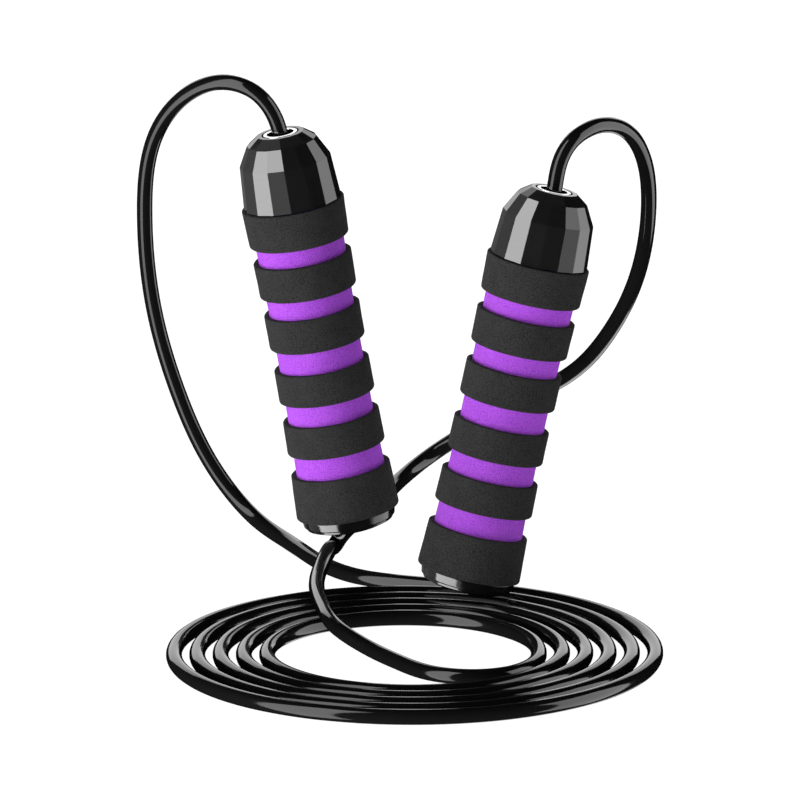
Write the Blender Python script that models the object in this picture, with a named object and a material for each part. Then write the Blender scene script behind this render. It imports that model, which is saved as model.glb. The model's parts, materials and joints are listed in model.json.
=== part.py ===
"""A jump rope with two foam-grip handles, lying as it is put away.

The rope is wound into a flat spiral on the floor. Its outer end rises to the left handle
and its inner end to the right one. Each handle turns on a ball bearing round the rope's end.
Metres, +Z up. The origin is on the floor, under the back of the coil.
"""

import math

import bmesh
import bpy
import numpy as np
from mathutils import Matrix, Quaternion, Vector

MM = 0.001
GAP = 0.3 * MM  # between pieces that touch

# Rope
ROPE_RADIUS = 3.0 * MM
TUBE_SPACING = 15.0 * MM  # between the points of a tube
TUBE_ROUNDNESS = 2
SEARCH_STEP = 0.25 * MM  # when looking for the place where a tube ends

# Coil: a flat spiral, clockwise seen from above on its way in
COIL_CENTRE = Vector((0.0, -69.4 * MM, 0.0))
COIL_PITCH = 8.7 * MM  # from one turn to the next
COIL_START_ANGLE = math.radians(22.0)  # clockwise from the back
COIL_END_ANGLE = math.radians(90.0 + 5 * 360.0)
COIL_RIGHT_RADIUS = 92.1 * MM  # where the outermost turn passes the right side
COIL_RING_INNER = 45.6 * MM
COIL_RING_OUTER = 95.2 * MM
COIL_SIDES = 64

# Route of the rope where it isn't coiled, in millimetres from the coil's centre
OUTER_ROUTE = [  # from the left handle's mouth to the coil's outermost turn
    (-51.4, 164.2, 169.5),
    (-57.5, 165.3, 176.7),
    (-67.2, 169.1, 179.8),
    (-81.3, 177.1, 174.7),
    (-95.3, 185.2, 155.8),
    (-99.8, 189.3, 124.2),
    (-96.0, 190.2, 84.4),
    (-86.5, 189.4, 51.6),
    (-72.9, 187.5, 23.3),
    (-58.7, 179.4, 7.6),
    (-46.7, 161.9, 3.3),
    (-33.5, 130.3, 3.0),
    (-18.4, 109.3, 3.0),
    (-3.9, 101.6, 3.0),
    (20.1, 93.3, 3.0),
]
INNER_ROUTE = [  # from the coil's innermost turn, over the coil, to the right handle's mouth
    (46.1, -16.5, 3.0),
    (37.8, -28.6, 3.0),
    (23.9, -33.6, 3.0),
    (9.0, -28.6, 3.0),
    (-3.9, -12.7, 3.1),
    (-14.7, 2.4, 4.2),
    (-25.2, 13.9, 7.8),
    (-31.3, 35.8, 9.5),
    (-34.6, 70.8, 9.5),
    (-32.8, 101.5, 9.7),
    (-30.1, 122.4, 9.8),
    (-28.1, 151.5, 3.7),
    (-24.4, 173.7, 3.0),
    (-12.0, 215.3, 3.0),
    (-3.4, 246.2, 4.0),
    (9.3, 261.2, 10.5),
    (28.5, 257.1, 24.0),
    (46.7, 233.9, 40.6),
    (62.9, 203.7, 58.5),
    (76.0, 172.1, 82.2),
    (85.3, 147.9, 107.8),
    (89.7, 131.5, 133.1),
    (90.0, 122.6, 152.6),
    (88.3, 117.1, 163.4),
    (84.3, 111.2, 173.2),
    (78.8, 104.8, 179.1),
    (72.4, 98.2, 181.5),
    (65.9, 91.3, 180.9),
    (60.4, 86.2, 177.5),
    (57.0, 83.9, 171.9),
]

# Handles: depths are measured down the axis from the mouth in the nose
HANDLE_LENGTH = 155.3 * MM
ROUND_SIDES = 24  # visible round pieces
INNER_SIDES = 20  # pieces inside the handle
SMALL_SIDES = 12  # the set screw and its hole
POCKET_SIDES = 8
SHARP_ANGLE = math.radians(35.0)  # edges flatter than this are shaded smooth
HANDLES = {  # centre of the end cap's face, in millimetres from the coil's centre; axis; roll
    "left": ((-22.0, 164.5, 8.6), (-0.1706, -0.0024, 0.9853), -0.7),
    "right": ((21.2, 72.6, 9.2), (0.2145, 0.0617, 0.9748), -0.7),
}

# Foam grip: its outline is waisted
FOAM_TOP = 27.6 * MM
FOAM_BOTTOM = 149.6 * MM
WAIST_DEPTH = 88.0 * MM
WAIST_RADIUS = 18.15 * MM
FLARE = 1.45 * MM  # by which the radius grows at the grip's ends
GROOVE = 2.1 * MM  # from a band's surface to the sleeve's
BAND_ROUNDING = 1.2 * MM
BANDS = [  # depths of each band's edges, in millimetres
    (27.6, 42.0),
    (48.7, 62.0),
    (69.3, 82.4),
    (91.1, 103.5),
    (111.5, 124.0),
    (132.6, 149.6),
]

# Grip core: a tube with a spigot that the nose screws onto
CORE_RADIUS = 12.0 * MM
CORE_BORE = 9.5 * MM
SPIGOT_RADIUS = 13.5 * MM
SPIGOT_TOP = 15.0 * MM

# Nose: three rows of flat facets round a mouth
NOSE_FACETS = 16
NOSE_ROWS = [(9.0, 0.0), (13.4, 3.2), (17.4, 10.7), (18.6, 27.3)]  # radius, depth, mm
NOSE_SOCKET_RADIUS = 14.2 * MM
NOSE_CEILING = 14.5 * MM
MOUTH_RADIUS = 7.7 * MM
MOUTH_DEPTH = 3.0 * MM
EYELET_BORE = 5.15 * MM
EYELET_RADIUS = 6.85 * MM
EYELET_LENGTH = 9.0 * MM
EYELET_ROUNDING = 0.5 * MM
EYELET_CLEARANCE = 0.45 * MM  # between the eyelet and the mouth's bore

# Ball bearing between the spigot and the rope
BEARING_TOP = 16.6 * MM
BEARING_WIDTH = 7.0 * MM
BEARING_BORE = 4.0 * MM
BEARING_RADIUS = 11.0 * MM
INNER_RACE_RADIUS = 6.05 * MM
OUTER_RACE_BORE = 9.5 * MM
BALL_COUNT = 7
BALL_RADIUS = 1.98 * MM
BALL_CIRCLE_RADIUS = 7.5 * MM
RACE_GROOVE_RADIUS = 2.25 * MM
CAGE_INNER = 6.7 * MM
CAGE_OUTER = 8.3 * MM
CAGE_HEIGHT = 5.3 * MM
POCKET_RADIUS = 2.25 * MM
POCKET_LENGTH = 6.0 * MM
RACE_ARC = 40.0  # degrees to each side of a race groove's middle
SHIELD_THICKNESS = 0.4 * MM

# Fittings on the rope's end
BUSH_WALL = 0.55 * MM
BUSH_FLANGE = 0.7 * MM  # its thickness
BUSH_TAIL = 0.1 * MM  # by which the bush stands out below the bearing
BUSH_FLANGE_RADIUS = 5.4 * MM
WASHER_RADIUS = 6.0 * MM
WASHER_THICKNESS = 1.0 * MM
STOP_RADIUS = 7.8 * MM
STOP_LENGTH = 9.0 * MM
SCREW_RADIUS = 1.5 * MM
SCREW_HOLE_START = 1.0 * MM  # by which the hole's cutter reaches into the bore

# End cap: pushed into the core's lower end
PLUG_RADIUS = 9.2 * MM
PLUG_TOP = 138.0 * MM
PLUG_WALL = 2.0 * MM
CAP_FLOOR = 2.5 * MM
END_CAP_ROWS = [  # radius, depth, mm
    (17.9, 149.9),
    (17.4, 152.9),
    (16.6, 153.4),
    (16.4, 154.2),
    (13.5, 155.3),
]


# ---------------------------------------------------------------- materials


def material(name, colour, roughness, metallic=0.0):
    made = bpy.data.materials.new(name)
    made.use_nodes = True
    shader = made.node_tree.nodes["Principled BSDF"]
    shader.inputs["Base Color"].default_value = (*colour, 1.0)
    shader.inputs["Roughness"].default_value = roughness
    shader.inputs["Metallic"].default_value = metallic
    return made


def make_materials():
    return {
        "rope": material("rope_pvc", (0.010, 0.010, 0.010), 0.25),
        "black_foam": material("black_foam", (0.032, 0.032, 0.032), 0.85),
        "purple_foam": material("purple_foam", (0.37, 0.09, 0.64), 0.75),
        "nose": material("nose_plastic", (0.020, 0.020, 0.020), 0.15),
        "cap": material("cap_plastic", (0.012, 0.012, 0.012), 0.12),
        "core": material("core_plastic", (0.05, 0.05, 0.05), 0.5),
        "chrome": material("eyelet_chrome", (0.85, 0.85, 0.86), 0.08, 1.0),
        "steel": material("bearing_steel", (0.55, 0.56, 0.58), 0.2, 1.0),
        "brass": material("bush_brass", (0.80, 0.58, 0.25), 0.3, 1.0),
    }


# ---------------------------------------------------------------- shape makers


def link(name, data, finish, parent=None):
    made = bpy.data.objects.new(name, data)
    bpy.context.scene.collection.objects.link(made)
    data.materials.append(finish)
    made.parent = parent
    return made


def turned(name, outline, sides, finish, parent=None, closed=True, smooth=True):
    """A piece turned about its Z axis. outline is (radius, height) points. A closed outline
    makes a ring; an open one leaves a flat face at each end."""
    bm = bmesh.new()
    points = [bm.verts.new((radius, 0.0, height)) for radius, height in outline]
    pairs = list(zip(points, points[1:]))
    if closed:
        pairs.append((points[-1], points[0]))
    edges = [bm.edges.new(pair) for pair in pairs]
    bmesh.ops.spin(
        bm,
        geom=points + edges,
        cent=(0.0, 0.0, 0.0),
        axis=(0.0, 0.0, 1.0),
        angle=2 * math.pi,
        steps=sides,
        use_merge=True,
    )
    bmesh.ops.remove_doubles(bm, verts=bm.verts, dist=1e-7)
    if not closed:
        rims = [edge for edge in bm.edges if edge.is_boundary]
        bmesh.ops.edgeloop_fill(bm, edges=rims)
    bmesh.ops.recalc_face_normals(bm, faces=bm.faces)
    mesh = bpy.data.meshes.new(name)
    bm.to_mesh(mesh)
    bm.free()
    if smooth:
        mesh.shade_smooth()
        mesh.set_sharp_from_angle(angle=SHARP_ANGLE)
    return link(name, mesh, finish, parent)


def rod(name, radius, length, sides, finish, parent=None):
    """A closed cylinder along Z, centred on its origin."""
    bm = bmesh.new()
    bmesh.ops.create_cone(
        bm, cap_ends=True, segments=sides, radius1=radius, radius2=radius, depth=length
    )
    mesh = bpy.data.meshes.new(name)
    bm.to_mesh(mesh)
    bm.free()
    return link(name, mesh, finish, parent)


def cut(target, cutter):
    """Cuts one piece from another and hides the cutter."""
    cutter.hide_render = True
    cutter.display_type = "WIRE"
    step = target.modifiers.new("cut_" + cutter.name, "BOOLEAN")
    step.operation = "DIFFERENCE"
    step.solver = "EXACT"
    step.object = cutter


# ---------------------------------------------------------------- rope


def coil_point(angle):
    """The spiral's centreline, at an angle clockwise from the back."""
    turns_past_right = (angle - math.radians(90.0)) / (2 * math.pi)
    radius = COIL_RIGHT_RADIUS - COIL_PITCH * turns_past_right
    flat = Vector((radius * math.sin(angle), radius * math.cos(angle), ROPE_RADIUS))
    return COIL_CENTRE + flat


def on_route(place):
    return COIL_CENTRE + Vector(place) * MM


def spline_through(points):
    """A curve with continuous curvature through the points: returns it and its length."""
    places = np.array([tuple(point) for point in points])
    at = np.concatenate(
        [[0.0], np.cumsum(np.linalg.norm(np.diff(places, axis=0), axis=1))]
    )
    step = np.diff(at)
    count = len(at)
    system = np.eye(count)
    right_side = np.zeros((count, 3))
    slopes = np.diff(places, axis=0) / step[:, None]
    for i in range(1, count - 1):
        system[i, i - 1 : i + 2] = step[i - 1], 2 * (step[i - 1] + step[i]), step[i]
        right_side[i] = 6 * (slopes[i] - slopes[i - 1])
    bend = np.linalg.solve(system, right_side)

    def place(distance):
        i = int(np.clip(np.searchsorted(at, distance) - 1, 0, count - 2))
        before = distance - at[i]
        after = at[i + 1] - distance
        cubic = (bend[i] * after**3 + bend[i + 1] * before**3) / (6 * step[i])
        start = places[i] / step[i] - bend[i] * step[i] / 6
        end = places[i + 1] / step[i] - bend[i + 1] * step[i] / 6
        return Vector(cubic + start * after + end * before)

    return place, at[-1]


def tube(name, points, first, last, finish):
    """A tube along the smooth curve through the points, from one distance to another."""
    place, _ = spline_through(points)
    steps = math.ceil((last - first) / TUBE_SPACING)
    curve = bpy.data.curves.new(name, "CURVE")
    curve.dimensions = "3D"
    curve.bevel_depth = ROPE_RADIUS
    curve.bevel_resolution = TUBE_ROUNDNESS
    curve.use_fill_caps = True
    line = curve.splines.new("POLY")
    line.points.add(steps)
    for i in range(steps + 1):
        spot = place(first + (last - first) * i / steps)
        spot.z = max(spot.z, ROPE_RADIUS)
        line.points[i].co = (*spot, 1.0)
    return link(name, curve, finish)


def distance_where(points, start, forward, reached):
    """The distance along the route at which reached(place) first holds, going on from start."""
    place, _ = spline_through(points)
    distance = start
    while not reached(place(distance)):
        distance += forward * SEARCH_STEP
    return distance


def coil_radius_of(place):
    return (place.xy - COIL_CENTRE.xy).length


def make_rope(frames, finish):
    ring = [
        (COIL_RING_INNER, 0.0),
        (COIL_RING_OUTER, 0.0),
        (COIL_RING_OUTER, 2 * ROPE_RADIUS),
        (COIL_RING_INNER, 2 * ROPE_RADIUS),
    ]
    coil = turned("rope_coil", ring, COIL_SIDES, finish)
    coil.location = COIL_CENTRE
    coil.rotation_euler.z = math.pi / COIL_SIDES

    rope_end = stop_bottom() + GAP
    inside = [rope_end, 0.5 * rope_end, 0.0]
    left = [frames["left"] @ Vector((0, 0, HANDLE_LENGTH - d)) for d in inside]
    right = [frames["right"] @ Vector((0, 0, HANDLE_LENGTH - d)) for d in inside]
    spiral = [coil_point(COIL_START_ANGLE + math.radians(step)) for step in (0, 30)]
    outer = left + [on_route(place) for place in OUTER_ROUTE] + spiral
    spiral = [coil_point(COIL_END_ANGLE - math.radians(step)) for step in (30, 0)]
    inner = spiral + [on_route(place) for place in INNER_ROUTE] + right[::-1]

    clear = ROPE_RADIUS + GAP
    _, outer_length = spline_through(outer)
    outer_last = distance_where(
        outer,
        outer_length,
        -1,
        lambda place: coil_radius_of(place) > COIL_RING_OUTER + clear,
    )
    _, inner_length = spline_through(inner)
    inner_first = distance_where(
        inner, 0.0, 1, lambda place: coil_radius_of(place) < COIL_RING_INNER - clear
    )
    tube("rope_left_run", outer, 0.0, outer_last, finish)
    tube("rope_right_run", inner, inner_first, inner_length, finish)


# ---------------------------------------------------------------- handle pieces


def height(depth):
    """Height above the end cap's face, for a depth below the nose's mouth."""
    return HANDLE_LENGTH - depth


def grip_radius(depth):
    reach = (depth - WAIST_DEPTH) / (FOAM_BOTTOM - WAIST_DEPTH)
    return WAIST_RADIUS + FLARE * reach**2


def make_core(side, parent, finish):
    seat = BEARING_TOP + BEARING_WIDTH + GAP
    bottom = height(FOAM_BOTTOM)
    outline = [
        (SPIGOT_RADIUS, height(SPIGOT_TOP)),
        (SPIGOT_RADIUS, height(FOAM_TOP) - GAP),
        (CORE_RADIUS, height(FOAM_TOP) - GAP),
        (CORE_RADIUS, bottom),
        (CORE_BORE, bottom),
        (CORE_BORE, height(seat)),
        (BEARING_RADIUS + GAP, height(seat)),
        (BEARING_RADIUS + GAP, height(SPIGOT_TOP)),
    ]
    turned(side + "_grip_core", outline, ROUND_SIDES, finish, parent)


def make_sleeve(side, parent, finish):
    """The purple foam: it shows in the grooves between the bands."""
    top = FOAM_TOP + 2 * GAP
    grooves = [(upper[1] + lower[0]) / 2 * MM for upper, lower in zip(BANDS, BANDS[1:])]
    depths = [top] + grooves + [FOAM_BOTTOM]
    outline = [(grip_radius(d) - GROOVE, height(d)) for d in depths]
    outline.append((CORE_RADIUS + GAP, height(FOAM_BOTTOM)))
    outline.append((CORE_RADIUS + GAP, height(top)))
    turned(side + "_foam_sleeve", outline, ROUND_SIDES, finish, parent)


def make_band(side, number, edges, parent, finish):
    """A black foam band round the sleeve, with rounded edges."""
    top, bottom = (edge * MM for edge in edges)
    inner_top = grip_radius(top) - GROOVE + GAP
    inner_bottom = grip_radius(bottom) - GROOVE + GAP
    outline = [
        (grip_radius(top) - BAND_ROUNDING, height(top)),
        (grip_radius(top), height(top + BAND_ROUNDING)),
        (grip_radius(bottom), height(bottom - BAND_ROUNDING)),
        (grip_radius(bottom) - BAND_ROUNDING, height(bottom)),
        (inner_bottom, height(bottom)),
        (inner_top, height(top)),
    ]
    turned(f"{side}_foam_band_{number}", outline, ROUND_SIDES, finish, parent)


def make_nose(side, parent, finish):
    """The faceted nose cap, with a socket for the spigot and a stepped mouth."""
    outline = [(radius * MM, height(depth * MM)) for radius, depth in NOSE_ROWS]
    outline += [
        (NOSE_SOCKET_RADIUS, outline[-1][1]),
        (NOSE_SOCKET_RADIUS, height(NOSE_CEILING)),
        (EYELET_RADIUS + EYELET_CLEARANCE, height(NOSE_CEILING)),
        (EYELET_RADIUS + EYELET_CLEARANCE, height(MOUTH_DEPTH)),
        (MOUTH_RADIUS, height(MOUTH_DEPTH)),
        (MOUTH_RADIUS, height(0.0)),
    ]
    turned(side + "_nose_cap", outline, NOSE_FACETS, finish, parent, smooth=False)


def make_eyelet(side, parent, finish):
    outline = [
        (EYELET_BORE + EYELET_ROUNDING, height(0.0)),
        (EYELET_RADIUS - EYELET_ROUNDING, height(0.0)),
        (EYELET_RADIUS, height(EYELET_ROUNDING)),
        (EYELET_RADIUS, height(EYELET_LENGTH)),
        (EYELET_BORE, height(EYELET_LENGTH)),
        (EYELET_BORE, height(EYELET_ROUNDING)),
    ]
    turned(side + "_mouth_eyelet", outline, INNER_SIDES, finish, parent)


def race_groove(middle, side_of_ball):
    """The arc of a race's groove, from its upper end to its lower. side_of_ball is -1 on the
    inner race and 1 on the outer one."""
    arc = []
    for step in (-1, 0, 1):
        angle = math.radians(RACE_ARC * step)
        radius = BALL_CIRCLE_RADIUS + side_of_ball * RACE_GROOVE_RADIUS * math.cos(angle)
        arc.append((radius, middle - RACE_GROOVE_RADIUS * math.sin(angle)))
    edge = INNER_RACE_RADIUS if side_of_ball < 0 else OUTER_RACE_BORE
    return [(r, z) for r, z in arc if side_of_ball * (r - edge) > 0]


def make_bearing(side, parent, finish):
    top = height(BEARING_TOP)
    bottom = top - BEARING_WIDTH
    middle = (top + bottom) / 2
    inner = [(BEARING_BORE, top), (INNER_RACE_RADIUS, top)]
    inner += race_groove(middle, -1)
    inner += [(INNER_RACE_RADIUS, bottom), (BEARING_BORE, bottom)]
    turned(side + "_bearing_inner_race", inner, INNER_SIDES, finish, parent)
    outer = [(BEARING_RADIUS, top), (OUTER_RACE_BORE, top)]
    outer += race_groove(middle, 1)
    outer += [(OUTER_RACE_BORE, bottom), (BEARING_RADIUS, bottom)]
    turned(side + "_bearing_outer_race", outer, INNER_SIDES, finish, parent)
    for place, face in (("upper", top), ("lower", bottom + SHIELD_THICKNESS)):
        shield = [
            (INNER_RACE_RADIUS + GAP, face),
            (OUTER_RACE_BORE - GAP, face),
            (OUTER_RACE_BORE - GAP, face - SHIELD_THICKNESS),
            (INNER_RACE_RADIUS + GAP, face - SHIELD_THICKNESS),
        ]
        turned(f"{side}_bearing_{place}_shield", shield, INNER_SIDES, finish, parent)


def make_balls_and_cage(side, parent, steel, brass):
    middle = height(BEARING_TOP + BEARING_WIDTH / 2)
    ring = [
        (CAGE_INNER, middle - CAGE_HEIGHT / 2),
        (CAGE_OUTER, middle - CAGE_HEIGHT / 2),
        (CAGE_OUTER, middle + CAGE_HEIGHT / 2),
        (CAGE_INNER, middle + CAGE_HEIGHT / 2),
    ]
    cage = turned(side + "_ball_cage", ring, INNER_SIDES, brass, parent)
    for number in range(1, BALL_COUNT + 1):
        turn = Matrix.Rotation(2 * math.pi * number / BALL_COUNT, 4, "Z")
        place = turn @ Vector((BALL_CIRCLE_RADIUS, 0.0, middle))
        ball_mesh = bpy.data.meshes.new(f"{side}_bearing_ball_{number}")
        bm = bmesh.new()
        bmesh.ops.create_icosphere(bm, subdivisions=2, radius=BALL_RADIUS)
        bm.to_mesh(ball_mesh)
        bm.free()
        ball_mesh.shade_smooth()
        ball = link(ball_mesh.name, ball_mesh, steel, parent)
        ball.location = place
        pocket = rod(
            f"{side}_pocket_{number}",
            POCKET_RADIUS,
            POCKET_LENGTH,
            POCKET_SIDES,
            brass,
            parent,
        )
        along_radius = turn.to_quaternion() @ Quaternion((0, 1, 0), math.pi / 2)
        pocket.matrix_local = Matrix.Translation(place) @ along_radius.to_matrix().to_4x4()
        cut(cage, pocket)


def bush_bottom():
    return BEARING_TOP + BEARING_WIDTH + BUSH_TAIL


def stop_top():
    return bush_bottom() + WASHER_THICKNESS + 2 * GAP


def stop_bottom():
    return stop_top() + STOP_LENGTH


def make_rope_end(side, parent, finishes):
    """The bush in the bearing, the washer under it and the collar that holds the rope."""
    bore = ROPE_RADIUS + GAP
    flange_bottom = height(BEARING_TOP - GAP)
    bush = [
        (bore, flange_bottom + BUSH_FLANGE),
        (BUSH_FLANGE_RADIUS, flange_bottom + BUSH_FLANGE),
        (BUSH_FLANGE_RADIUS, flange_bottom),
        (bore + BUSH_WALL, flange_bottom),
        (bore + BUSH_WALL, height(bush_bottom())),
        (bore, height(bush_bottom())),
    ]
    turned(side + "_rope_bush", bush, INNER_SIDES, finishes["brass"], parent)
    washer_top = height(bush_bottom() + GAP)
    washer = [
        (bore, washer_top),
        (WASHER_RADIUS, washer_top),
        (WASHER_RADIUS, washer_top - WASHER_THICKNESS),
        (bore, washer_top - WASHER_THICKNESS),
    ]
    turned(side + "_stop_washer", washer, INNER_SIDES, finishes["steel"], parent)
    collar = [
        (bore, height(stop_top())),
        (STOP_RADIUS, height(stop_top())),
        (STOP_RADIUS, height(stop_bottom())),
        (bore, height(stop_bottom())),
    ]
    stop = turned(side + "_rope_stop", collar, INNER_SIDES, finishes["steel"], parent)
    middle = height(stop_top() + STOP_LENGTH / 2)
    across = Quaternion((0, 1, 0), math.pi / 2)
    hole = rod(
        side + "_screw_hole",
        SCREW_RADIUS + GAP,
        STOP_RADIUS,
        SMALL_SIDES,
        finishes["steel"],
        parent,
    )
    hole.rotation_mode = "QUATERNION"
    hole.rotation_quaternion = across
    hole.location = (bore + STOP_RADIUS / 2 - SCREW_HOLE_START, 0.0, middle)
    cut(stop, hole)
    screw_length = STOP_RADIUS - bore - GAP
    screw = rod(
        side + "_stop_screw",
        SCREW_RADIUS,
        screw_length,
        SMALL_SIDES,
        finishes["steel"],
        parent,
    )
    screw.rotation_mode = "QUATERNION"
    screw.rotation_quaternion = across
    screw.location = (bore + screw_length / 2, 0.0, middle)


def make_end_cap(side, parent, finish):
    rows = [(radius * MM, height(depth * MM)) for radius, depth in END_CAP_ROWS]
    hollow = PLUG_RADIUS - PLUG_WALL
    outline = [
        (hollow, CAP_FLOOR),
        (hollow, height(PLUG_TOP)),
        (PLUG_RADIUS, height(PLUG_TOP)),
        (PLUG_RADIUS, rows[0][1]),
    ]
    outline += rows
    turned(side + "_end_cap", outline, ROUND_SIDES, finish, parent, closed=False)


def handle_axis(side):
    """An empty on the handle's axis, at the centre of its end face, with Z up the handle."""
    foot, direction, roll = HANDLES[side]
    axis = bpy.data.objects.new(side + "_handle_axis", None)
    bpy.context.scene.collection.objects.link(axis)
    upright = Vector((0, 0, 1)).rotation_difference(Vector(direction).normalized())
    axis.rotation_mode = "QUATERNION"
    axis.rotation_quaternion = upright @ Quaternion((0, 0, 1), math.radians(roll))
    axis.location = on_route(foot)
    return axis


def make_handle(side, finishes):
    axis = handle_axis(side)
    make_core(side, axis, finishes["core"])
    make_sleeve(side, axis, finishes["purple_foam"])
    for number, edges in enumerate(BANDS, start=1):
        make_band(side, number, edges, axis, finishes["black_foam"])
    make_nose(side, axis, finishes["nose"])
    make_eyelet(side, axis, finishes["chrome"])
    make_bearing(side, axis, finishes["steel"])
    make_balls_and_cage(side, axis, finishes["steel"], finishes["brass"])
    make_rope_end(side, axis, finishes)
    make_end_cap(side, axis, finishes["cap"])
    return axis


def main():
    for old in list(bpy.data.objects):
        bpy.data.objects.remove(old)
    finishes = make_materials()
    axes = {side: make_handle(side, finishes) for side in HANDLES}
    bpy.context.view_layer.update()
    frames = {side: axis.matrix_world.copy() for side, axis in axes.items()}
    make_rope(frames, finishes["rope"])


main()
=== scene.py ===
"""The jump rope's visual model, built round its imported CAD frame. Metres, +Z up."""

import json
import math

import bmesh
import bpy
import numpy as np
from mathutils import Matrix, Quaternion, Vector, noise


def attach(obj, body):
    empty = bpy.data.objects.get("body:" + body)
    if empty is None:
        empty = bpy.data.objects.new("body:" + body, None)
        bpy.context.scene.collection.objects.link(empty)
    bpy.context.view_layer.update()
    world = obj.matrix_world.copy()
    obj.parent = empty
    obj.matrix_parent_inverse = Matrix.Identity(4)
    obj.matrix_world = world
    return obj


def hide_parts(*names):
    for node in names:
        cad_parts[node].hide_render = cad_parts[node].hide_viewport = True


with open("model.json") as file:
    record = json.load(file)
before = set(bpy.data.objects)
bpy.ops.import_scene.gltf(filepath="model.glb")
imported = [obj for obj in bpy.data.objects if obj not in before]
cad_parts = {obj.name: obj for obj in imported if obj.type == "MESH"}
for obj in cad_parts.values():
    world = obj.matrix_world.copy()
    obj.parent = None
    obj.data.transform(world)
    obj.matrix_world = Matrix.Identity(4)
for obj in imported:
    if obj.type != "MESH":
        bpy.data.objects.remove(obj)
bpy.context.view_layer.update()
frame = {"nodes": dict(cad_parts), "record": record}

MM = 0.001
GAP = 0.3 * MM

# ---------------------------------------------------------------- the part's own sizes

ROPE_RADIUS = 3.0 * MM
COIL_CENTRE = Vector((0.0, -69.4 * MM, 0.0))
COIL_PITCH = 8.7 * MM
COIL_START_ANGLE = 22.0  # degrees, clockwise from the back
COIL_END_ANGLE = 90.0 + 5 * 360.0
COIL_RIGHT_RADIUS = 92.1 * MM
COIL_STEP = 15.0  # degrees between the spiral's points
ROPE_SPACING = 2.2 * MM  # between the sections of the drawn cord

# Route of the rope where it isn't coiled, in millimetres from the coil's centre
OUTER_ROUTE = [  # from the left handle's mouth to the coil's outermost turn
    (-51.4, 164.2, 169.5),
    (-57.5, 165.3, 176.7),
    (-67.2, 169.1, 179.8),
    (-81.3, 177.1, 174.7),
    (-95.3, 185.2, 155.8),
    (-99.8, 189.3, 124.2),
    (-96.0, 190.2, 84.4),
    (-86.5, 189.4, 51.6),
    (-72.9, 187.5, 23.3),
    (-58.7, 179.4, 7.6),
    (-46.7, 161.9, 3.3),
    (-33.5, 130.3, 3.0),
    (-18.4, 109.3, 3.0),
    (-3.9, 101.6, 3.0),
    (20.1, 93.3, 3.0),
]
INNER_ROUTE = [  # from the coil's innermost turn, over the coil, to the right handle's mouth
    (46.1, -16.5, 3.0),
    (37.8, -28.6, 3.0),
    (23.9, -33.6, 3.0),
    (9.0, -28.6, 3.0),
    (-3.9, -12.7, 3.1),
    (-14.7, 2.4, 4.2),
    (-25.2, 13.9, 7.8),
    (-31.3, 35.8, 9.5),
    (-34.6, 70.8, 9.5),
    (-32.8, 101.5, 9.7),
    (-30.1, 122.4, 9.8),
    (-28.1, 151.5, 3.7),
    (-24.4, 173.7, 3.0),
    (-12.0, 215.3, 3.0),
    (-3.4, 246.2, 4.0),
    (9.3, 261.2, 10.5),
    (28.5, 257.1, 24.0),
    (46.7, 233.9, 40.6),
    (62.9, 203.7, 58.5),
    (76.0, 172.1, 82.2),
    (85.3, 147.9, 107.8),
    (89.7, 131.5, 133.1),
    (90.0, 122.6, 152.6),
    (88.3, 117.1, 163.4),
    (84.3, 111.2, 173.2),
    (78.8, 104.8, 179.1),
    (72.4, 98.2, 181.5),
    (65.9, 91.3, 180.9),
    (60.4, 86.2, 177.5),
    (57.0, 83.9, 171.9),
]

HANDLE_LENGTH = 155.3 * MM
HANDLE_ROLL = -0.7  # degrees about its own axis
HANDLES = {  # centre of the end cap's face, in millimetres from the coil's centre; axis
    "left": ((-22.0, 164.5, 8.6), (-0.1706, -0.0024, 0.9853)),
    "right": ((21.2, 72.6, 9.2), (0.2145, 0.0617, 0.9748)),
}
ROPE_END_DEPTH = 29.6 * MM  # in the stop collar, below the mouth

FOAM_TOP = 27.6 * MM
FOAM_BOTTOM = 149.6 * MM
WAIST_DEPTH = 88.0 * MM
WAIST_RADIUS = 18.15 * MM
FLARE = 1.45 * MM
GROOVE = 2.1 * MM
CORE_RADIUS = 12.0 * MM
BANDS = [
    (27.6, 42.0),
    (48.7, 62.0),
    (69.3, 82.4),
    (91.1, 103.5),
    (111.5, 124.0),
    (132.6, 149.6),
]
BAND_TOP_ROUNDING = 0.45 * MM
BAND_BOTTOM_ROUNDING = 0.9 * MM
BAND_BORE_ROUNDING = 0.15 * MM
UNEVEN_RADIUS = 18.0 * MM  # where the foam's unevenness is read, for every radius
GRIP_SIDES = 144

NOSE_FACETS = 16
SIDES_PER_FACET = 6
NOSE_ROWS = [(9.0, 0.0), (13.4, 3.2), (17.4, 10.7), (18.6, 27.3)]  # radius, depth
NOSE_ROUNDING = 0.2 * MM
NOSE_SOCKET_RADIUS = 14.2 * MM
NOSE_CEILING = 14.5 * MM
MOUTH_RADIUS = 7.05 * MM
EYELET_BORE = 5.15 * MM
EYELET_RADIUS = 6.5 * MM
EYELET_LENGTH = 9.0 * MM
EYELET_OUTER_ROUNDING = 0.15 * MM
EYELET_BORE_ROUNDING = 0.2 * MM
EYELET_SIDES = 96

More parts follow.
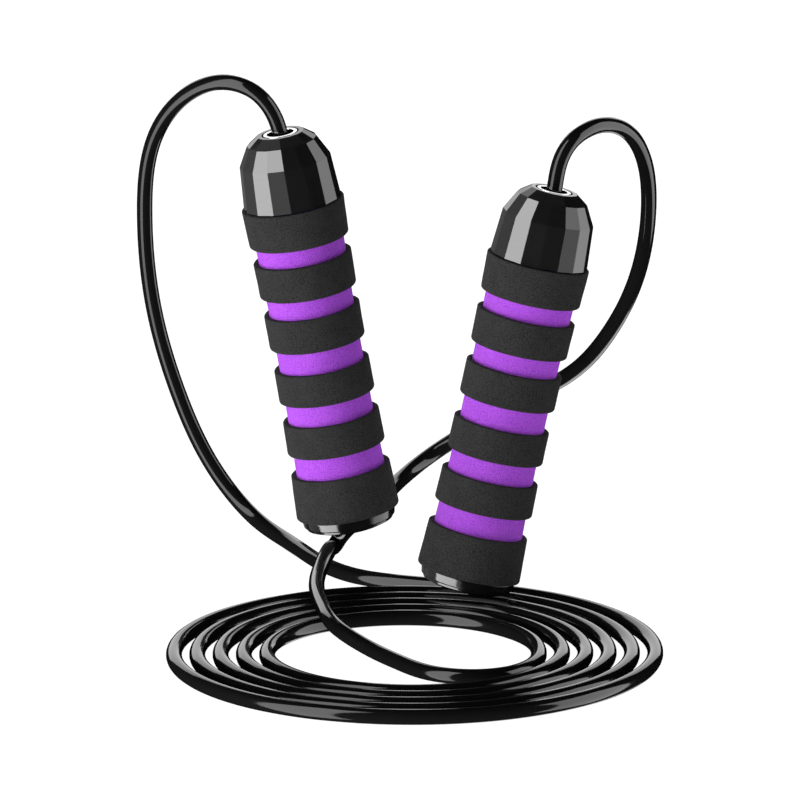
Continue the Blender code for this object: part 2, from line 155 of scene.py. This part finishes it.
CAP_FACE = 155.3  # the end cap's depths and radii, in millimetres
CAP_FLOOR = 152.8
CAP_SHOULDER = 149.9
PLUG_TOP = 138.0
PLUG_RADIUS = 9.2
PLUG_BORE = 7.2
CAP_OUTLINE = [  # radius, depth, rounding
    (0.0, CAP_FACE, 0.0),
    (13.5, CAP_FACE, 0.5),
    (16.4, 154.2, 0.25),
    (16.6, 153.4, 0.1),
    (17.4, 152.9, 0.3),
    (17.9, CAP_SHOULDER, 0.15),
    (PLUG_RADIUS, CAP_SHOULDER, 0.2),
    (PLUG_RADIUS, PLUG_TOP, 0.3),
    (PLUG_BORE, PLUG_TOP, 0.3),
    (PLUG_BORE, CAP_FLOOR, 0.3),
    (0.0, CAP_FLOOR, 0.0),
]
CAP_SIDES = 128

# ---------------------------------------------------------------- camera

VIEW_ELEVATION = math.radians(14.85)
PICTURE_WIDTH = 0.29995  # of the plane through the target
LENS = 1600.0
SENSOR = 36.0
TARGET = Vector((-0.0033, 0.0, 0.0825))

forward = Vector((0.0, math.cos(VIEW_ELEVATION), -math.sin(VIEW_ELEVATION)))
camera_data = bpy.data.cameras.new("camera")
camera_data.lens = LENS
camera_data.sensor_width = SENSOR
camera_data.clip_start = 0.1
camera_data.clip_end = 100.0
camera = bpy.data.objects.new("camera", camera_data)
camera.location = TARGET - forward * (LENS * PICTURE_WIDTH / SENSOR)
camera.rotation_mode = "QUATERNION"
camera.rotation_quaternion = forward.to_track_quat("-Z", "Y")
bpy.context.scene.collection.objects.link(camera)
bpy.context.scene.camera = camera
bpy.context.scene.view_settings.view_transform = "Standard"

# ---------------------------------------------------------------- material makers


class Finish:
    """A material with short ways to add nodes. Textures are at real scale, in metres."""

    def __init__(self, name, colour, roughness, metallic=0.0):
        self.material = bpy.data.materials.new(name)
        self.material.use_nodes = True
        self.tree = self.material.node_tree
        self.shader = self.tree.nodes["Principled BSDF"]
        self.set("Base Color", (*colour, 1.0))
        self.set("Roughness", roughness)
        self.set("Metallic", metallic)
        self.place = self.node("ShaderNodeTexCoord").outputs["Object"]

    def set(self, socket, value):
        self.shader.inputs[socket].default_value = value

    def node(self, kind, **settings):
        made = self.tree.nodes.new(kind)
        for key, value in settings.items():
            setattr(made, key, value)
        return made

    def link(self, output, node, socket):
        self.tree.links.new(output, node.inputs[socket])

    def stretched(self, scale):
        """The place, scaled by a different amount along each axis."""
        mapping = self.node("ShaderNodeMapping")
        mapping.inputs["Scale"].default_value = scale
        self.link(self.place, mapping, "Vector")
        return mapping.outputs["Vector"]

    def noise(self, size, detail=2.0, roughness=0.5, place=None):
        """Noise whose features are size metres across; 0 to 1."""
        made = self.node("ShaderNodeTexNoise")
        made.inputs["Scale"].default_value = 1.0 / size
        made.inputs["Detail"].default_value = detail
        made.inputs["Roughness"].default_value = roughness
        self.link(place or self.place, made, "Vector")
        return made.outputs["Fac"]

    def ramp(self, value, low, high, start=0.0, stop=1.0):
        """value from low to high, mapped to start to stop."""
        made = self.node("ShaderNodeMapRange")
        self.link(value, made, "Value")
        for socket, number in zip(
            ("From Min", "From Max", "To Min", "To Max"), (low, high, start, stop)
        ):
            made.inputs[socket].default_value = number
        return made.outputs["Result"]

    def math(self, operation, first, second):
        made = self.node("ShaderNodeMath", operation=operation)
        for socket, value in enumerate((first, second)):
            if isinstance(value, (int, float)):
                made.inputs[socket].default_value = value
            else:
                self.link(value, made, socket)
        return made.outputs["Value"]

    def mixed(self, factor, first, second):
        made = self.node("ShaderNodeMix", data_type="RGBA")
        self.link(factor, made, "Factor")
        made.inputs["A"].default_value = (*first, 1.0)
        made.inputs["B"].default_value = (*second, 1.0)
        return made.outputs["Result"]

    def colour(self, factor, first, second):
        self.link(self.mixed(factor, first, second), self.shader, "Base Color")

    def roughness(self, value):
        self.link(value, self.shader, "Roughness")

    def bump(self, height, distance, strength=1.0):
        made = self.node("ShaderNodeBump")
        made.inputs["Distance"].default_value = distance
        made.inputs["Strength"].default_value = strength
        self.link(height, made, "Height")
        self.link(made.outputs["Normal"], self.shader, "Normal")


def foam_finish(name, light, pit_shade):
    """Foam rubber with an embossed grain of pits about half a millimetre across, darkened in
    colour as painted shade.
    """
    finish = Finish(name, light, roughness=0.9)
    finish.set("Specular IOR Level", 0.12)
    pits_and_their_shade = finish.noise(0.46 * MM, detail=1.5, roughness=0.45)
    fine = finish.noise(0.22 * MM, detail=2.0, roughness=0.6)
    broad = finish.noise(7.0 * MM, detail=3.0, roughness=0.55)
    grain = finish.math("ADD", finish.math("MULTIPLY", pits_and_their_shade, 1.6), fine)
    finish.bump(grain, distance=0.38 * MM)
    # painted shade: the pits are darkened in colour, standing in for the shade that falls in
    # them
    painted_pit_shade = finish.ramp(pits_and_their_shade, 0.50, 0.64, stop=0.7)
    # the tone adds that painted pit shade to a broad, random change of tone
    tone = finish.math("ADD", painted_pit_shade, finish.ramp(broad, 0.3, 0.7, stop=0.08))
    finish.colour(tone, light, pit_shade)
    finish.roughness(finish.ramp(broad, 0.3, 0.7, start=0.84, stop=0.96))
    return finish.material


def gloss_finish(name, colour, roughness, wear):
    """Moulded plastic, with faint handling marks that roughen its gloss by up to wear."""
    finish = Finish(name, colour, roughness)
    marks = finish.noise(1.8 * MM, detail=6.0, roughness=0.65)
    finish.roughness(finish.ramp(marks, 0.35, 0.75, roughness, roughness + wear))
    paler = tuple(1.35 * value for value in colour)
    finish.colour(finish.noise(9.0 * MM), colour, paler)
    finish.bump(finish.noise(4.0 * MM), distance=0.004 * MM, strength=0.5)
    return finish.material


def metal_finish(name, colour, roughness, size):
    """Turned metal, with fine lines round its axis. size is the lines' noise's."""
    finish = Finish(name, colour, roughness, metallic=1.0)
    across = finish.stretched((0.2, 0.2, 3.0))
    lines = finish.noise(size, detail=3.0, roughness=0.6, place=across)
    finish.roughness(finish.ramp(lines, 0.3, 0.7, roughness * 0.8, roughness * 1.6))
    darker = tuple(0.86 * value for value in colour)
    finish.colour(finish.noise(3.0 * MM, detail=3.0), colour, darker)
    finish.bump(lines, distance=0.003 * MM, strength=0.3)
    return finish.material


def rope_finish():
    """Extruded PVC: almost smooth, with a faint drawn texture."""
    finish = Finish("rope_pvc", (0.0075, 0.0075, 0.0078), roughness=0.10)
    drawn = finish.noise(5.0 * MM, detail=4.0)
    finish.roughness(finish.ramp(drawn, 0.3, 0.7, start=0.07, stop=0.13))
    tone = finish.noise(14.0 * MM, detail=3.0)
    finish.colour(tone, (0.0068, 0.0068, 0.0071), (0.009, 0.009, 0.0093))
    finish.bump(finish.noise(2.5 * MM), distance=0.006 * MM, strength=0.5)
    return finish.material


FOAMS = {  # its colour, and the colour of the painted shade in its pits
    "black_foam": ((0.0315, 0.0315, 0.0315), (0.004, 0.004, 0.004)),
    "purple_foam": ((0.585, 0.110, 1.0), (0.35, 0.050, 0.80)),
}
PLASTICS = {  # colour, roughness, wear
    "nose_plastic": ((0.011, 0.011, 0.0113), 0.03, 0.05),
    "cap_plastic": ((0.0050, 0.0050, 0.0052), 0.12, 0.06),
    "core_plastic": ((0.045, 0.045, 0.047), 0.42, 0.15),
}
METALS = {  # colour, roughness, size of its lines
    "chrome": ((0.88, 0.88, 0.89), 0.06, 0.5 * MM),
    "bearing_steel": ((0.60, 0.61, 0.63), 0.18, 0.4 * MM),
    "brass": ((0.80, 0.56, 0.24), 0.24, 0.4 * MM),
}
FINISHES = {"rope_pvc": rope_finish()}
for kinds, maker in (
    (FOAMS, foam_finish),
    (PLASTICS, gloss_finish),
    (METALS, metal_finish),
):
    for name, looks in kinds.items():
        FINISHES[name] = maker(name, *looks)


def dress(piece, slot_name, body):
    """Gives a new piece its finish, its slot and the body it rides on."""
    piece.data.materials.clear()
    piece.data.materials.append(FINISHES[slot_name])
    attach(piece, body)


# ---------------------------------------------------------------- the rope


def handle_frame(side):
    """Places a handle: Z up its axis, from the centre of its end cap's face."""
    foot, direction = HANDLES[side]
    upright = Vector((0, 0, 1)).rotation_difference(Vector(direction).normalized())
    turn = upright @ Quaternion((0, 0, 1), math.radians(HANDLE_ROLL))
    return Matrix.Translation(COIL_CENTRE + Vector(foot) * MM) @ turn.to_matrix().to_4x4()


FRAMES = {side: handle_frame(side) for side in HANDLES}


def at_depth(side, depth):
    """The point on a handle's axis at a depth below its mouth."""
    return FRAMES[side] @ Vector((0.0, 0.0, HANDLE_LENGTH - depth))


def coil_point(angle):
    """The spiral's centreline, at an angle in degrees clockwise from the back."""
    radius = COIL_RIGHT_RADIUS - COIL_PITCH * (angle - 90.0) / 360.0
    turn = math.radians(angle)
    return COIL_CENTRE + Vector(
        (radius * math.sin(turn), radius * math.cos(turn), ROPE_RADIUS)
    )


def spline_points(points, spacing):
    """Evenly spaced points on a natural cubic spline through the points, kept from
    sinking into the floor."""
    places = np.array([tuple(point) for point in points])
    at = np.concatenate(
        [[0.0], np.cumsum(np.linalg.norm(np.diff(places, axis=0), axis=1))]
    )
    step = np.diff(at)[:, None]
    slopes = np.diff(places, axis=0) / step
    count = len(at)
    system = np.eye(count)
    right_side = np.zeros((count, 3))
    for i in range(1, count - 1):
        before, after = step[i - 1, 0], step[i, 0]
        system[i, i - 1 : i + 2] = before, 2 * (before + after), after
        right_side[i] = 6 * (slopes[i] - slopes[i - 1])
    bend = np.linalg.solve(system, right_side)
    distances = np.linspace(0.0, at[-1], math.ceil(at[-1] / spacing) + 1)
    piece = np.clip(np.searchsorted(at, distances) - 1, 0, count - 2)
    before = (distances - at[piece])[:, None]
    after = (at[piece + 1] - distances)[:, None]
    size = step[piece]
    made = (bend[piece] * after**3 + bend[piece + 1] * before**3) / (6 * size)
    made += (places[piece] / size - bend[piece] * size / 6) * after
    made += (places[piece + 1] / size - bend[piece + 1] * size / 6) * before
    made[:, 2] = np.maximum(made[:, 2], ROPE_RADIUS)
    return made


def make_rope():
    """The whole rope as one cord, from stop collar to stop collar."""
    inside = (ROPE_END_DEPTH, 0.5 * ROPE_END_DEPTH, 0.0)
    route = [at_depth("left", depth) for depth in inside]
    route += [COIL_CENTRE + Vector(place) * MM for place in OUTER_ROUTE]
    steps = int((COIL_END_ANGLE - COIL_START_ANGLE) / COIL_STEP)
    span = (COIL_END_ANGLE - COIL_START_ANGLE) / steps
    route += [coil_point(COIL_START_ANGLE + span * i) for i in range(steps + 1)]
    route += [COIL_CENTRE + Vector(place) * MM for place in INNER_ROUTE]
    route += [at_depth("right", depth) for depth in reversed(inside)]
    points = spline_points(route, ROPE_SPACING)
    curve = bpy.data.curves.new("rope", "CURVE")
    curve.dimensions = "3D"
    curve.bevel_depth = ROPE_RADIUS
    curve.bevel_resolution = 8
    curve.use_fill_caps = True
    line = curve.splines.new("POLY")
    line.points.add(len(points) - 1)
    line.points.foreach_set("co", np.column_stack([points, np.ones(len(points))]).ravel())
    line.use_smooth = True
    rope = bpy.data.objects.new("rope", curve)
    bpy.context.scene.collection.objects.link(rope)
    dress(rope, "rope_pvc", "rope")
    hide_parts("rope_coil", "rope_left_run", "rope_right_run")
    rope.visible_glossy = False  # the end caps' gloss shows the lights below them


make_rope()

# ---------------------------------------------------------------- turned pieces


def rounded(outline, radii, steps=5):
    """A closed (radius, height) outline with each corner rounded by its own radius."""
    made = []
    count = len(outline)
    for i, (corner, radius) in enumerate(zip(outline, radii)):
        here = Vector(corner)
        back = Vector(outline[i - 1]) - here
        ahead = Vector(outline[(i + 1) % count]) - here
        if radius <= 0:
            made.append(tuple(here))
            continue
        half = 0.5 * back.angle(ahead)
        reach = min(radius / math.tan(half), 0.49 * back.length, 0.49 * ahead.length)
        first = here + back.normalized() * reach
        last = here + ahead.normalized() * reach
        for step in range(steps + 1):
            t = step / steps
            made.append(tuple(first.lerp(here, t).lerp(here.lerp(last, t), t)))
    return made


def spread(outline, spacing):
    """The closed outline with no gap between points longer than spacing."""
    made = []
    for i, point in enumerate(outline):
        here, ahead = Vector(point), Vector(outline[(i + 1) % len(outline)])
        pieces = max(1, math.ceil((ahead - here).length / spacing))
        made += [tuple(here.lerp(ahead, k / pieces)) for k in range(pieces)]
    return made


def turned(name, outline, sides, side, radius_at=None):
    """A ring turned about the handle's axis from a closed outline of (radius, height)
    points. radius_at(angle, radius, height) can shape it."""
    rows = len(outline)
    corners = []
    for step in range(sides):
        angle = 2 * math.pi * step / sides
        for radius, height in outline:
            if radius_at:
                radius = radius_at(angle, radius, height)
            corners.append((radius * math.cos(angle), radius * math.sin(angle), height))
    faces = []
    for step in range(sides):
        here, ahead = step * rows, (step + 1) % sides * rows
        for i in range(rows):
            j = (i + 1) % rows
            faces.append((here + i, here + j, ahead + j, ahead + i))
    mesh = bpy.data.meshes.new(name)
    mesh.from_pydata(corners, [], faces)
    bm = bmesh.new()
    bm.from_mesh(mesh)
    bmesh.ops.remove_doubles(bm, verts=bm.verts, dist=1e-6)
    bmesh.ops.recalc_face_normals(bm, faces=bm.faces)
    bm.to_mesh(mesh)
    bm.free()
    mesh.shade_smooth()
    made = bpy.data.objects.new(name, mesh)
    made.matrix_world = FRAMES[side]
    bpy.context.scene.collection.objects.link(made)
    return made


def height(depth):
    """How far a depth below the mouth is above the end cap's face."""
    return HANDLE_LENGTH - depth


def grip_radius(depth):
    """The outer radius of the bands, which is least at the waist."""
    reach = (depth - WAIST_DEPTH) / (FOAM_BOTTOM - WAIST_DEPTH)
    return WAIST_RADIUS + FLARE * reach**2


def uneven(amount, size, seed):
    """A shaper that gives foam its slight unevenness, in waves about size across."""

    def radius_at(angle, radius, up):
        across, along = math.cos(angle) * UNEVEN_RADIUS, math.sin(angle) * UNEVEN_RADIUS
        place = Vector((across, along, up))
        return radius + amount * noise.noise(place / size + Vector((seed, 0, 0)))

    return radius_at


def make_sleeve(side, seed):
    """The purple foam: it shows in the grooves between the bands."""
    top = FOAM_TOP + 2 * GAP
    depths = [top]
    for upper, lower in zip(BANDS, BANDS[1:]):
        depths += [upper[1] * MM, 0.5 * (upper[1] + lower[0]) * MM, lower[0] * MM]
    depths.append(FOAM_BOTTOM)
    outer = [(grip_radius(depth) - GROOVE, height(depth)) for depth in depths]
    inner = [
        (CORE_RADIUS + GAP, height(FOAM_BOTTOM)),
        (CORE_RADIUS + GAP, height(top)),
    ]
    outline = spread(outer + inner, spacing=1.2 * MM)
    shape = uneven(amount=0.05 * MM, size=5.0 * MM, seed=seed)
    sleeve = turned(side + "_sleeve", outline, GRIP_SIDES, side, shape)
    dress(sleeve, "purple_foam", side + "_handle")
    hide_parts(side + "_foam_sleeve")
    sleeve.visible_glossy = False  # gloss shows the studio's greys, not purple


def make_band(side, number, edges, seed):
    """A black foam band, with softly rounded edges."""
    top, bottom = (edge * MM for edge in edges)
    inner_top = grip_radius(top) - GROOVE + GAP
    inner_bottom = grip_radius(bottom) - GROOVE + GAP
    corners = [
        (grip_radius(top), height(top)),
        (grip_radius(bottom), height(bottom)),
        (inner_bottom, height(bottom)),
        (inner_top, height(top)),
    ]
    rounding = [BAND_TOP_ROUNDING, BAND_BOTTOM_ROUNDING] + 2 * [BAND_BORE_ROUNDING]
    outline = spread(rounded(corners, rounding), spacing=0.8 * MM)
    shape = uneven(amount=0.08 * MM, size=6.0 * MM, seed=seed)
    band = turned(f"{side}_band_{number}", outline, GRIP_SIDES, side, shape)
    dress(band, "black_foam", side + "_handle")
    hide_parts(f"{side}_foam_band_{number}")


def make_nose(side):
    """The faceted nose cap. Flat facets meet at slightly rounded edges."""
    rows = [(radius * MM, height(depth * MM)) for radius, depth in NOSE_ROWS]
    outline = rows + [
        (NOSE_SOCKET_RADIUS, rows[-1][1]),
        (NOSE_SOCKET_RADIUS, height(NOSE_CEILING)),
        (MOUTH_RADIUS, height(NOSE_CEILING)),
        (MOUTH_RADIUS, height(0.0)),
    ]
    facet = 2 * math.pi / NOSE_FACETS
    faceted = {radius for radius, _ in rows}

    def radius_at(angle, radius, up):
        if radius not in faceted:
            return radius
        off = angle % facet - 0.5 * facet
        return radius * math.cos(0.5 * facet) / math.cos(off)

    sides = NOSE_FACETS * SIDES_PER_FACET
    nose = turned(side + "_nose", outline, sides, side, radius_at)
    rounding = nose.modifiers.new("rounding", "BEVEL")
    rounding.limit_method = "ANGLE"
    rounding.angle_limit = math.radians(9.0)
    rounding.width = NOSE_ROUNDING
    rounding.segments = 2
    rounding.harden_normals = True
    dress(nose, "nose_plastic", side + "_nose")
    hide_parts(side + "_nose_cap")


def make_eyelet(side):
    """The chrome ring in the nose's mouth. The rope runs through its bore."""
    corners = [
        (EYELET_RADIUS, height(0.0)),
        (EYELET_RADIUS, height(EYELET_LENGTH)),
        (EYELET_BORE, height(EYELET_LENGTH)),
        (EYELET_BORE, height(0.0)),
    ]
    rounding = [
        EYELET_OUTER_ROUNDING,
        EYELET_BORE_ROUNDING,
        EYELET_BORE_ROUNDING,
        EYELET_OUTER_ROUNDING,
    ]
    outline = spread(rounded(corners, rounding, steps=4), spacing=0.3 * MM)
    eyelet = turned(side + "_eyelet", outline, EYELET_SIDES, side)
    dress(eyelet, "chrome", side + "_nose")
    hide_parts(side + "_mouth_eyelet")


def make_end_cap(side):
    """The stepped end cap. Its plug is pushed into the core, and its face closes it."""
    corners = [(radius * MM, height(depth * MM)) for radius, depth, _ in CAP_OUTLINE]
    rounding = [size * MM for _, _, size in CAP_OUTLINE]
    outline = spread(rounded(corners, rounding, steps=4), spacing=0.4 * MM)
    cap = turned(side + "_cap", outline, CAP_SIDES, side)
    dress(cap, "cap_plastic", side + "_handle")
    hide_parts(side + "_end_cap")


for seed, side in enumerate(HANDLES):
    make_sleeve(side, 10.0 * seed)
    for number, edges in enumerate(BANDS, start=1):
        make_band(side, number, edges, 10.0 * seed + number)
    make_nose(side)
    make_eyelet(side)
    make_end_cap(side)

# ---------------------------------------------------------------- the CAD nodes that show

for subpart in frame["record"]["subparts"]:
    node = frame["nodes"][subpart["node"]]
    if node.hide_render:
        continue
    for material_slot in node.material_slots:
        material_slot.material = FINISHES[subpart["material_slot"]]

# ---------------------------------------------------------------- the studio


def receivers(name, pieces):
    """A group of pieces that a light can be kept to."""
    made = bpy.data.collections.new(name)
    for piece in pieces:
        made.objects.link(piece)
    return made


ROPE = receivers("rope_lights", [bpy.data.objects["rope"]])
FITTINGS = receivers(
    "fitting_lights",
    [piece for piece in bpy.context.scene.objects if piece.type == "MESH"],
)

LIGHT_DISTANCE = 1.6
LIGHTS_AIM = Vector((0.0, 0.0, 0.09))


def light(name, azimuth, elevation, width, tall, radiance, lit=None):
    """A soft rectangular light. azimuth is from the front, to the right. It fills angles
    of width by tall degrees. lit is the group whose gloss it makes. Without one it makes
    diffuse shading only, on everything."""
    turn, rise = math.radians(azimuth), math.radians(elevation)
    out = Vector(
        (
            math.sin(turn) * math.cos(rise),
            -math.cos(turn) * math.cos(rise),
            math.sin(rise),
        )
    )
    data = bpy.data.lights.new(name, "AREA")
    data.shape = "RECTANGLE"
    data.size = 2 * LIGHT_DISTANCE * math.tan(math.radians(width / 2))
    data.size_y = 2 * LIGHT_DISTANCE * math.tan(math.radians(tall / 2))
    data.energy = radiance * math.pi * data.size * data.size_y
    lamp = bpy.data.objects.new(name, data)
    lamp.location = LIGHTS_AIM + out * LIGHT_DISTANCE
    lamp.rotation_mode = "QUATERNION"
    lamp.rotation_quaternion = (-out).to_track_quat("-Z", "Y")
    bpy.context.scene.collection.objects.link(lamp)
    lamp.visible_camera = False
    lamp.visible_glossy = lit is not None
    lamp.visible_diffuse = lit is None
    if lit:
        lamp.light_linking.receiver_collection = lit


LIGHTS = [  # name, azimuth, elevation, width, height, radiance, what its gloss is for
    ("rope_left", -53, 5, 38, 124, 3.2, ROPE),
    ("rope_right", 89, -3, 46, 88, 2.6, ROPE),
    ("rope_back", 182, 16, 58, 32, 1.5, ROPE),
    ("rope_back_low", 168, -43, 28, 22, 1.5, ROPE),
    ("fitting_left", -59, -4, 54, 116, 10.0, FITTINGS),
    ("fitting_left_edge", -26, -5, 12, 60, 1.0, FITTINGS),
    ("fitting_right", 96, 2, 52, 66, 2.7, FITTINGS),
    ("fitting_right_edge", 66, -16, 8, 20, 1.4, FITTINGS),
    ("fitting_back", 183, 28, 46, 42, 1.4, FITTINGS),
    ("fitting_left_back", -112, 12, 46, 110, 0.45, FITTINGS),
    ("fitting_far_left", -155, -8, 40, 40, 0.2, FITTINGS),
    ("fitting_top", 180, 80, 60, 30, 0.08, FITTINGS),
    ("key", -64, -12, 50, 60, 4.7, None),
    ("front", 0, -20, 70, 60, 0.95, None),
    ("right", 70, -22, 70, 70, 1.2, None),
    ("back", 165, 20, 80, 60, 1.1, None),
    ("below", 0, -85, 70, 70, 0.6, None),
    ("top", 0, 88, 60, 60, 0.5, None),
]
for settings in LIGHTS:
    light(*settings)

world = bpy.data.worlds.new("world")
bpy.context.scene.world = world
world.use_nodes = True
background = world.node_tree.nodes["Background"]
background.inputs["Color"].default_value = (1.0, 1.0, 1.0, 1.0)
background.inputs["Strength"].default_value = 1.0
world.cycles_visibility.diffuse = False
world.cycles_visibility.glossy = False

FLOOR_REACH = 12.0
floor_mesh = bpy.data.meshes.new("floor")
floor_corners = [
    (-FLOOR_REACH, -FLOOR_REACH, 0.0),
    (FLOOR_REACH, -FLOOR_REACH, 0.0),
    (FLOOR_REACH, FLOOR_REACH, 0.0),
    (-FLOOR_REACH, FLOOR_REACH, 0.0),
]
floor_mesh.from_pydata(floor_corners, [], [(0, 1, 2, 3)])
floor = bpy.data.objects.new("floor", floor_mesh)
floor.location.z = -0.05 * MM  # just below the coil's underside
bpy.context.scene.collection.objects.link(floor)
floor_finish = Finish("floor", (0.30, 0.30, 0.30), roughness=0.9)
floor_finish.set("Specular IOR Level", 0.0)
floor_finish.set("Emission Color", (1.0, 1.0, 1.0, 1.0))
floor_finish.set("Emission Strength", 1.0)
floor_finish.material.cycles.emission_sampling = "NONE"
floor.data.materials.append(floor_finish.material)
floor.visible_glossy = False
floor.visible_diffuse = False
floor.visible_shadow = False
